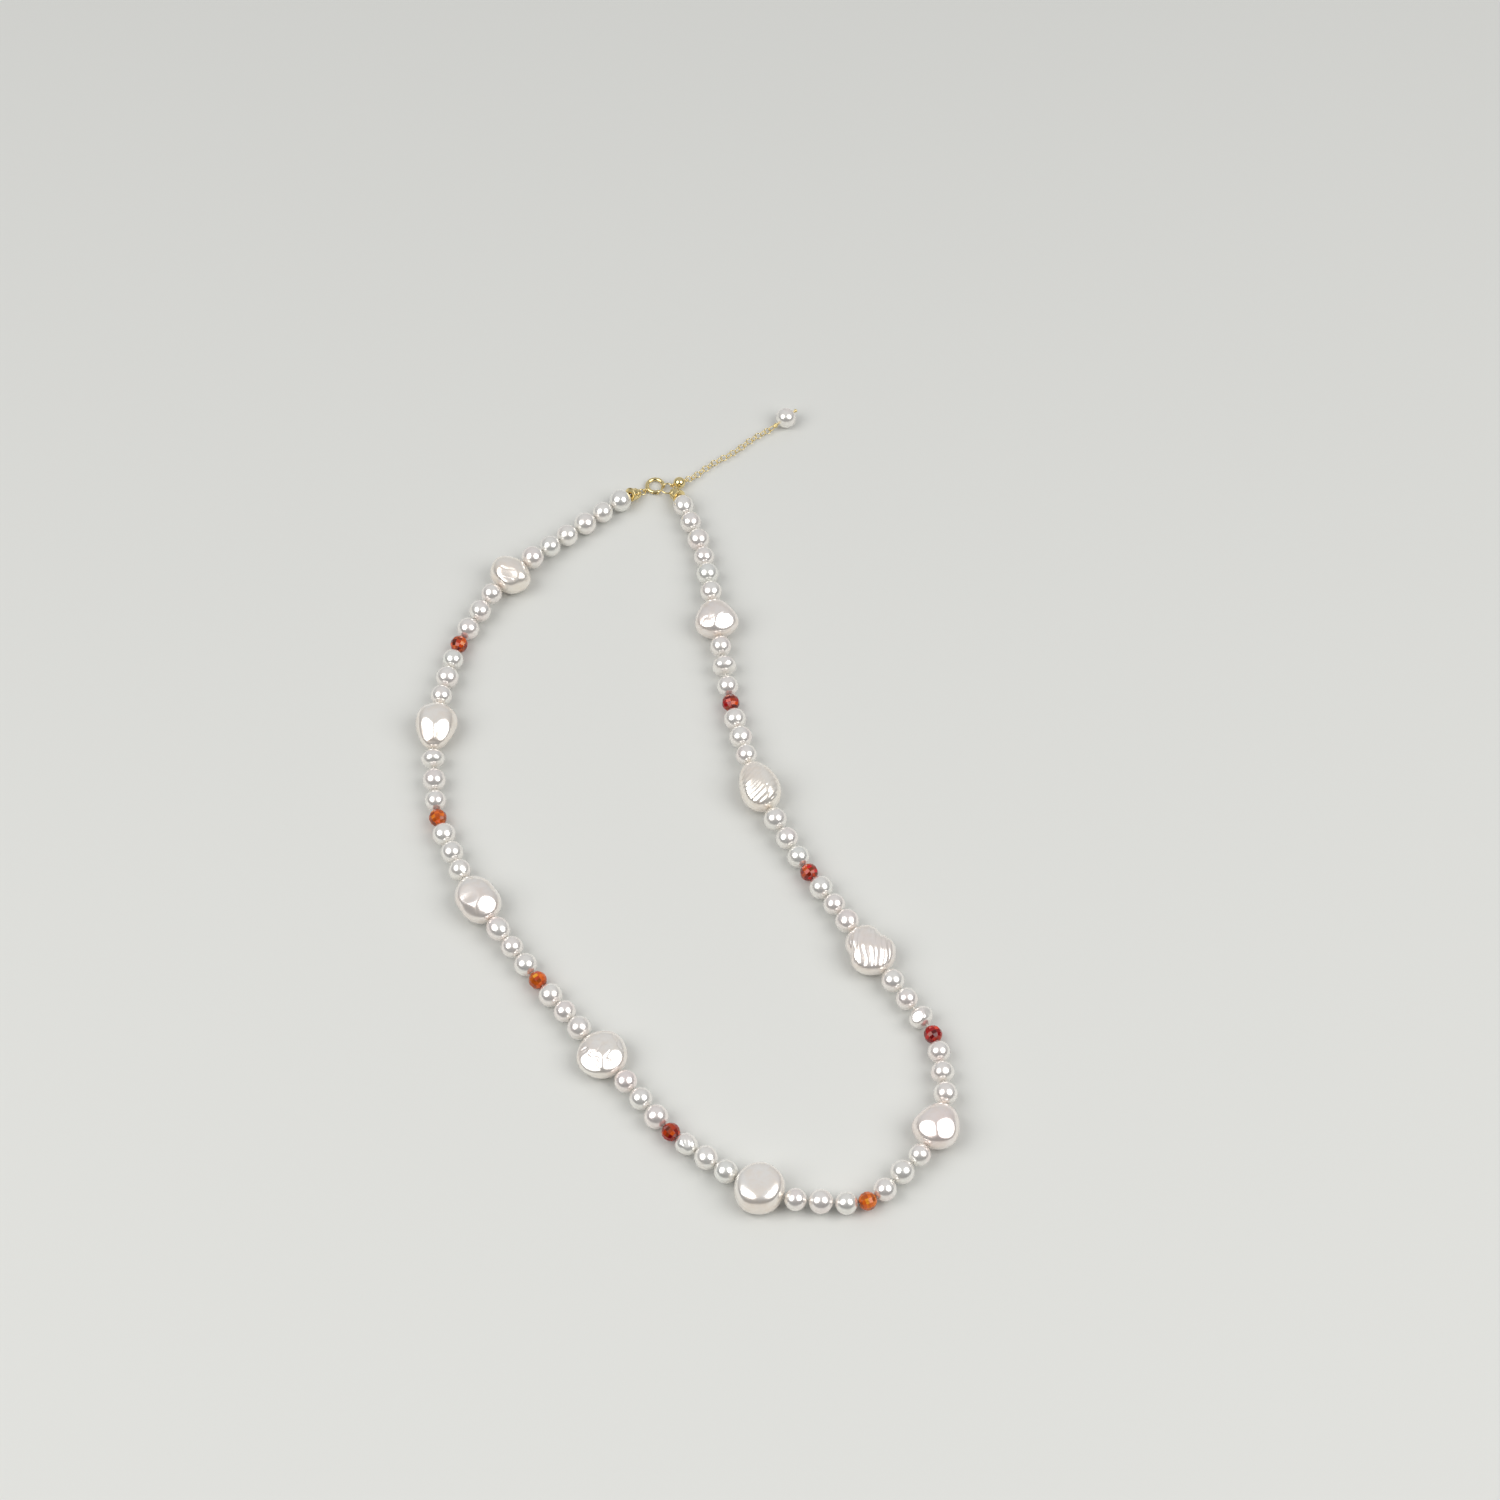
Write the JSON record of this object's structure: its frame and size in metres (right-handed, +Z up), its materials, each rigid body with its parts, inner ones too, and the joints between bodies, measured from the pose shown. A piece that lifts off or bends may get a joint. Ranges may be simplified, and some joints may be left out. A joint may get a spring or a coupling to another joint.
{
  "type": "pearl necklace",
  "caption": "Necklace of small round pearls with baroque pearls and faceted red stones between them, end caps, spring ring clasp and an extension chain, laid flat.",
  "frame": {"origin": "under the middle of the laid-out necklace, on the surface it lies on", "axes": "+Z up, +Y from the front of the loop to its clasp, +X to the right when the clasp is furthest away"},
  "size_m": [0.1264, 0.2246, 0.0084],
  "materials": {
    "pearl": "white pearl nacre with rose and green overtones",
    "baroque_pearl": "cream baroque pearl nacre, uneven",
    "faceted_stone": "polished, faceted, translucent red to orange",
    "gold": "polished gold plate",
    "thread": "twisted white beading thread"
  },
  "bodies": {
    "baroque_pearl_5": {"baroque_pearl_5": "baroque_pearl", "thread": "thread"},
    "end_cap_left": {"end_cap_left": "gold", "crimp_left": "gold"},
    "pearls_01": {"pearls_01": "pearl"},
    "pearls_02": {"pearls_02": "pearl"},
    "baroque_pearl_1": {"baroque_pearl_1": "baroque_pearl"},
    "pearls_03": {"pearls_03": "pearl"},
    "stone_1": {"stone_1": "faceted_stone"},
    "pearls_04": {"pearls_04": "pearl"},
    "baroque_pearl_2": {"baroque_pearl_2": "baroque_pearl"},
    "pearls_05": {"pearls_05": "pearl"},
    "stone_2": {"stone_2": "faceted_stone"},
    "pearls_06": {"pearls_06": "pearl"},
    "baroque_pearl_3": {"baroque_pearl_3": "baroque_pearl"},
    "pearls_07": {"pearls_07": "pearl"},
    "stone_3": {"stone_3": "faceted_stone"},
    "pearls_08": {"pearls_08": "pearl"},
    "baroque_pearl_4": {"baroque_pearl_4": "baroque_pearl"},
    "pearls_09": {"pearls_09": "pearl"},
    "stone_4": {"stone_4": "faceted_stone"},
    "pearls_10": {"pearls_10": "pearl"},
    "pearls_11": {"pearls_11": "pearl"},
    "stone_5": {"stone_5": "faceted_stone"},
    "pearls_12": {"pearls_12": "pearl"},
    "baroque_pearl_6": {"baroque_pearl_6": "baroque_pearl"},
    "pearls_13": {"pearls_13": "pearl"},
    "stone_6": {"stone_6": "faceted_stone"},
    "pearls_14": {"pearls_14": "pearl"},
    "baroque_pearl_7": {"baroque_pearl_7": "baroque_pearl"},
    "pearls_15": {"pearls_15": "pearl"},
    "stone_7": {"stone_7": "faceted_stone"},
    "pearls_16": {"pearls_16": "pearl"},
    "baroque_pearl_8": {"baroque_pearl_8": "baroque_pearl"},
    "pearls_17": {"pearls_17": "pearl"},
    "stone_8": {"stone_8": "faceted_stone"},
    "pearls_18": {"pearls_18": "pearl"},
    "baroque_pearl_9": {"baroque_pearl_9": "baroque_pearl"},
    "pearls_19": {"pearls_19": "pearl"},
    "pearls_20": {"pearls_20": "pearl"},
    "end_cap_right": {"end_cap_right": "gold", "crimp_right": "gold"},
    "clasp_link": {"clasp_link": "gold"},
    "spring_ring": {"spring_ring": "gold", "spring_ring_spring": "gold"},
    "spring_ring_bolt": {"spring_ring_bolt": "gold"},
    "jump_ring": {"jump_ring": "gold"},
    "ball": {"ball": "gold"},
    "chain_links_1": {"chain_links_1": "gold"},
    "chain_links_2": {"chain_links_2": "gold"},
    "chain_links_3": {"chain_links_3": "gold"},
    "chain_links_4": {"chain_links_4": "gold"},
    "chain_links_5": {"chain_links_5": "gold"},
    "chain_links_6": {"chain_links_6": "gold"},
    "chain_links_7": {"chain_links_7": "gold"},
    "chain_links_8": {"chain_links_8": "gold"},
    "chain_links_9": {"chain_links_9": "gold"},
    "chain_end_link": {"chain_end_link": "gold"},
    "headpin": {"headpin": "gold"},
    "end_pearl": {"end_pearl": "pearl"}
  },
  "joints": [
    {"name": "clasp_bolt", "type": "hinge", "parent": "spring_ring", "child": "spring_ring_bolt", "pos_m": [-0.00713, 0.0897, 0.00078], "axis": [0, 0, -1], "range_deg": [0, 38], "stiffness_Nm_per_rad": 0.002, "deforming": ["spring_ring_spring"]},
    {"name": "clasp_link_swing", "type": "hinge", "parent": "end_cap_left", "child": "clasp_link", "pos_m": [-0.01107, 0.08715, 0.00102], "axis": [0, 0, 1], "range_deg": [-10, 10]},
    {"name": "spring_ring_swing", "type": "hinge", "parent": "clasp_link", "child": "spring_ring", "pos_m": [-0.00969, 0.08823, 0.00078], "axis": [0, 0, 1], "range_deg": [-10, 10]},
    {"name": "jump_ring_swing", "type": "hinge", "parent": "end_cap_right", "child": "jump_ring", "pos_m": [-0.00288, 0.08725, 0.00166], "axis": [0, 0, 1], "range_deg": [-10, 10]},
    {"name": "ball_swing", "type": "hinge", "parent": "jump_ring", "child": "ball", "pos_m": [-0.00285, 0.08914, 0.00166], "axis": [0, 0, 1], "range_deg": [-10, 10]},
    {"name": "chain_links_1_swing", "type": "hinge", "parent": "ball", "child": "chain_links_1", "pos_m": [0.00083, 0.09089, 0.00166], "axis": [0, 0, 1], "range_deg": [-12, 12]},
    {"name": "chain_links_2_swing", "type": "hinge", "parent": "chain_links_1", "child": "chain_links_2", "pos_m": [0.00297, 0.09257, 0.001], "axis": [0, 0, 1], "range_deg": [-12, 12]},
    {"name": "chain_links_3_swing", "type": "hinge", "parent": "chain_links_2", "child": "chain_links_3", "pos_m": [0.00499, 0.09451, 0.001], "axis": [0, 0, 1], "range_deg": [-12, 12]},
    {"name": "chain_links_4_swing", "type": "hinge", "parent": "chain_links_3", "child": "chain_links_4", "pos_m": [0.0071, 0.09635, 0.001], "axis": [0, 0, 1], "range_deg": [-12, 12]},
    {"name": "chain_links_5_swing", "type": "hinge", "parent": "chain_links_4", "child": "chain_links_5", "pos_m": [0.00943, 0.09791, 0.001], "axis": [0, 0, 1], "range_deg": [-12, 12]},
    {"name": "chain_links_6_swing", "type": "hinge", "parent": "chain_links_5", "child": "chain_links_6", "pos_m": [0.01179, 0.09942, 0.001], "axis": [0, 0, 1], "range_deg": [-12, 12]},
    {"name": "chain_links_7_swing", "type": "hinge", "parent": "chain_links_6", "child": "chain_links_7", "pos_m": [0.01395, 0.10119, 0.001], "axis": [0, 0, 1], "range_deg": [-12, 12]},
    {"name": "chain_links_8_swing", "type": "hinge", "parent": "chain_links_7", "child": "chain_links_8", "pos_m": [0.01597, 0.10314, 0.001], "axis": [0, 0, 1], "range_deg": [-12, 12]},
    {"name": "chain_links_9_swing", "type": "hinge", "parent": "chain_links_8", "child": "chain_links_9", "pos_m": [0.01811, 0.10494, 0.001], "axis": [0, 0, 1], "range_deg": [-12, 12]},
    {"name": "chain_end_link_swing", "type": "hinge", "parent": "chain_links_9", "child": "chain_end_link", "pos_m": [0.02046, 0.10646, 0.001], "axis": [0, 0, 1], "range_deg": [-12, 12]},
    {"name": "headpin_swing", "type": "hinge", "parent": "chain_end_link", "child": "headpin", "pos_m": [0.02155, 0.10718, 0.001], "axis": [0, 0, 1], "range_deg": [-12, 12]},
    {"name": "end_pearl_turn", "type": "hinge", "parent": "headpin", "child": "end_pearl", "pos_m": [0.02155, 0.10718, 0.001], "axis": [0.8039, 0.5023, 0.3185], "continuous": true},
    {"name": "bend_pearls_10", "type": "hinge", "parent": "baroque_pearl_5", "child": "pearls_10", "pos_m": [0.01345, -0.1041, 0.0039], "axis": [0, 0, 1], "range_deg": [0, 10], "deforming": ["thread"]},
    {"name": "bend_stone_4", "type": "hinge", "parent": "pearls_10", "child": "stone_4", "pos_m": [0.00043, -0.09362, 0.00282], "axis": [0, 0, 1], "range_deg": [0, 10], "deforming": ["thread"]},
    {"name": "bend_pearls_09", "type": "hinge", "parent": "stone_4", "child": "pearls_09", "pos_m": [-0.00251, -0.09062, 0.00282], "axis": [0, 0, 1], "range_deg": [0, 10], "deforming": ["thread"]},
    {"name": "bend_baroque_pearl_4", "type": "hinge", "parent": "pearls_09", "child": "baroque_pearl_4", "pos_m": [-0.01311, -0.07754, 0.00355], "axis": [0, 0, 1], "range_deg": [0, 10], "deforming": ["thread"]},
    {"name": "bend_pearls_08", "type": "hinge", "parent": "baroque_pearl_4", "child": "pearls_08", "pos_m": [-0.02036, -0.06836, 0.00355], "axis": [0, 0, 1], "range_deg": [0, 10], "deforming": ["thread"]},
    {"name": "bend_stone_3", "type": "hinge", "parent": "pearls_08", "child": "stone_3", "pos_m": [-0.03069, -0.05498, 0.00282], "axis": [0, 0, 1], "range_deg": [0, 10], "deforming": ["thread"]},
    {"name": "bend_pearls_07", "type": "hinge", "parent": "stone_3", "child": "pearls_07", "pos_m": [-0.03321, -0.05162, 0.00282], "axis": [0, 0, 1], "range_deg": [0, 10], "deforming": ["thread"]},
    {"name": "bend_baroque_pearl_3", "type": "hinge", "parent": "pearls_07", "child": "baroque_pearl_3", "pos_m": [-0.04314, -0.03802, 0.00415], "axis": [0, 0, 1], "range_deg": [0, 10], "deforming": ["thread"]},
    {"name": "bend_pearls_06", "type": "hinge", "parent": "baroque_pearl_3", "child": "pearls_06", "pos_m": [-0.04984, -0.027, 0.00415], "axis": [0, 0, 1], "range_deg": [0, 10], "deforming": ["thread"]},
    {"name": "bend_stone_2", "type": "hinge", "parent": "pearls_06", "child": "stone_2", "pos_m": [-0.05631, -0.01156, 0.00282], "axis": [0, 0, 1], "range_deg": [0, 10], "deforming": ["thread"]},
    {"name": "bend_pearls_05", "type": "hinge", "parent": "stone_2", "child": "pearls_05", "pos_m": [-0.05737, -0.00749, 0.00282], "axis": [0, 0, 1], "range_deg": [0, 10], "deforming": ["thread"]},
    {"name": "bend_baroque_pearl_2", "type": "hinge", "parent": "pearls_05", "child": "baroque_pearl_2", "pos_m": [-0.05889, 0.0091, 0.00395], "axis": [0, 0, 1], "range_deg": [0, 10], "deforming": ["thread"]},
    {"name": "bend_pearls_04", "type": "hinge", "parent": "baroque_pearl_2", "child": "pearls_04", "pos_m": [-0.05802, 0.02177, 0.00395], "axis": [0, 0, 1], "range_deg": [0, 10], "deforming": ["thread"]},
    {"name": "bend_stone_1", "type": "hinge", "parent": "pearls_04", "child": "stone_1", "pos_m": [-0.05466, 0.03808, 0.00282], "axis": [0, 0, 1], "range_deg": [0, 10], "deforming": ["thread"]},
    {"name": "bend_pearls_03", "type": "hinge", "parent": "stone_1", "child": "pearls_03", "pos_m": [-0.05326, 0.04204, 0.00282], "axis": [0, 0, 1], "range_deg": [0, 10], "deforming": ["thread"]},
    {"name": "bend_baroque_pearl_1", "type": "hinge", "parent": "pearls_03", "child": "baroque_pearl_1", "pos_m": [-0.04526, 0.05671, 0.00405], "axis": [0, 0, 1], "range_deg": [0, 10], "deforming": ["thread"]},
    {"name": "bend_pearls_02", "type": "hinge", "parent": "baroque_pearl_1", "child": "pearls_02", "pos_m": [-0.03907, 0.06338, 0.00405], "axis": [0, 0, 1], "range_deg": [0, 10], "deforming": ["thread"]},
    {"name": "bend_pearls_01", "type": "hinge", "parent": "pearls_02", "child": "pearls_01", "pos_m": [-0.02648, 0.07454, 0.00282], "axis": [0, 0, 1], "range_deg": [0, 10], "deforming": ["thread"]},
    {"name": "bend_end_cap_left", "type": "hinge", "parent": "pearls_01", "child": "end_cap_left", "pos_m": [-0.01344, 0.08532, 0.00282], "axis": [0, 0, 1], "range_deg": [0, 10], "deforming": ["thread"]},
    {"name": "bend_pearls_11", "type": "hinge", "parent": "baroque_pearl_5", "child": "pearls_11", "pos_m": [0.02394, -0.10905, 0.0039], "axis": [0, 0, -1], "range_deg": [0, 10], "deforming": ["thread"]},
    {"name": "bend_stone_5", "type": "hinge", "parent": "pearls_11", "child": "stone_5", "pos_m": [0.04056, -0.10989, 0.00282], "axis": [0, 0, -1], "range_deg": [0, 10], "deforming": ["thread"]},
    {"name": "bend_pearls_12", "type": "hinge", "parent": "stone_5", "child": "pearls_12", "pos_m": [0.0445, -0.10842, 0.00282], "axis": [0, 0, -1], "range_deg": [0, 10], "deforming": ["thread"]},
    {"name": "bend_baroque_pearl_6", "type": "hinge", "parent": "pearls_12", "child": "baroque_pearl_6", "pos_m": [0.05611, -0.09647, 0.00415], "axis": [0, 0, -1], "range_deg": [0, 10], "deforming": ["thread"]},
    {"name": "bend_pearls_13", "type": "hinge", "parent": "baroque_pearl_6", "child": "pearls_13", "pos_m": [0.06071, -0.08593, 0.00415], "axis": [0, 0, -1], "range_deg": [0, 10], "deforming": ["thread"]},
    {"name": "bend_stone_6", "type": "hinge", "parent": "pearls_13", "child": "stone_6", "pos_m": [0.05905, -0.06925, 0.00282], "axis": [0, 0, -1], "range_deg": [0, 10], "deforming": ["thread"]},
    {"name": "bend_pearls_14", "type": "hinge", "parent": "stone_6", "child": "pearls_14", "pos_m": [0.05712, -0.06552, 0.00282], "axis": [0, 0, -1], "range_deg": [0, 10], "deforming": ["thread"]},
    {"name": "bend_baroque_pearl_7", "type": "hinge", "parent": "pearls_14", "child": "baroque_pearl_7", "pos_m": [0.04765, -0.05156, 0.00385], "axis": [0, 0, -1], "range_deg": [0, 10], "deforming": ["thread"]},
    {"name": "bend_pearls_15", "type": "hinge", "parent": "baroque_pearl_7", "child": "pearls_15", "pos_m": [0.04062, -0.04051, 0.00385], "axis": [0, 0, -1], "range_deg": [0, 10], "deforming": ["thread"]},
    {"name": "bend_stone_7", "type": "hinge", "parent": "pearls_15", "child": "stone_7", "pos_m": [0.03153, -0.02628, 0.00282], "axis": [0, 0, -1], "range_deg": [0, 10], "deforming": ["thread"]},
    {"name": "bend_pearls_16", "type": "hinge", "parent": "stone_7", "child": "pearls_16", "pos_m": [0.02921, -0.02279, 0.00282], "axis": [0, 0, -1], "range_deg": [0, 10], "deforming": ["thread"]},
    {"name": "bend_baroque_pearl_8", "type": "hinge", "parent": "pearls_16", "child": "baroque_pearl_8", "pos_m": [0.02111, -0.0081, 0.00425], "axis": [0, 0, -1], "range_deg": [0, 10], "deforming": ["thread"]},
    {"name": "bend_pearls_17", "type": "hinge", "parent": "baroque_pearl_8", "child": "pearls_17", "pos_m": [0.01632, 0.00474, 0.00425], "axis": [0, 0, -1], "range_deg": [0, 10], "deforming": ["thread"]},
    {"name": "bend_stone_8", "type": "hinge", "parent": "pearls_17", "child": "stone_8", "pos_m": [0.01232, 0.02092, 0.00282], "axis": [0, 0, -1], "range_deg": [0, 10], "deforming": ["thread"]},
    {"name": "bend_pearls_18", "type": "hinge", "parent": "stone_8", "child": "pearls_18", "pos_m": [0.0116, 0.02506, 0.00282], "axis": [0, 0, -1], "range_deg": [0, 10], "deforming": ["thread"]},
    {"name": "bend_baroque_pearl_9", "type": "hinge", "parent": "pearls_18", "child": "baroque_pearl_9", "pos_m": [0.00909, 0.04152, 0.00395], "axis": [0, 0, -1], "range_deg": [0, 10], "deforming": ["thread"]},
    {"name": "bend_pearls_19", "type": "hinge", "parent": "baroque_pearl_9", "child": "pearls_19", "pos_m": [0.00751, 0.0523, 0.00395], "axis": [0, 0, -1], "range_deg": [0, 10], "deforming": ["thread"]},
    {"name": "bend_pearls_20", "type": "hinge", "parent": "pearls_19", "child": "pearls_20", "pos_m": [0.00483, 0.06877, 0.00282], "axis": [0, 0, -1], "range_deg": [0, 10], "deforming": ["thread"]},
    {"name": "bend_end_cap_right", "type": "hinge", "parent": "pearls_20", "child": "end_cap_right", "pos_m": [-0.00096, 0.08457, 0.00282], "axis": [0, 0, -1], "range_deg": [0, 10], "deforming": ["thread"]}
  ]
}
